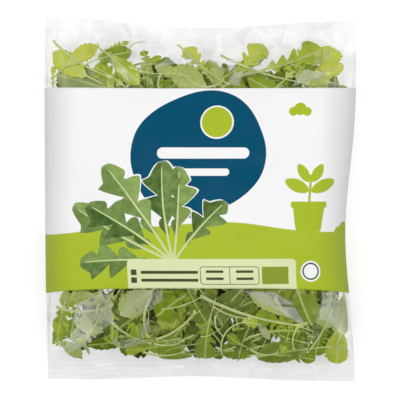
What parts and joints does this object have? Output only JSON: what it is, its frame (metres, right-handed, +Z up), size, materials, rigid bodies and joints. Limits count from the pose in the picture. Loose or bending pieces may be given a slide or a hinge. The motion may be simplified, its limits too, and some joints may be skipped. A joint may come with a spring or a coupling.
{
  "type": "bag of salad leaves",
  "caption": "Sealed clear pillow bag filled with rocket leaves, lying on its back, with a printed band round its middle and a crimped seal at each end.",
  "frame": {"origin": "on the table under the middle of the bag's outline", "axes": "+Z up through the printed front, +Y along the bag towards the top seal, +X to the right across the front"},
  "size_m": [0.2, 0.234, 0.0434],
  "materials": {
    "filled_bag": "glossy clear film over green leaves",
    "clear_film": "glossy clear film with fine creases",
    "printed_film": "satin print in white, lime green and dark blue",
    "leaf": "fresh green leaf with pale veins"
  },
  "bodies": {
    "root": {"salad_bag": "filled_bag"}
  },
  "joints": []
}
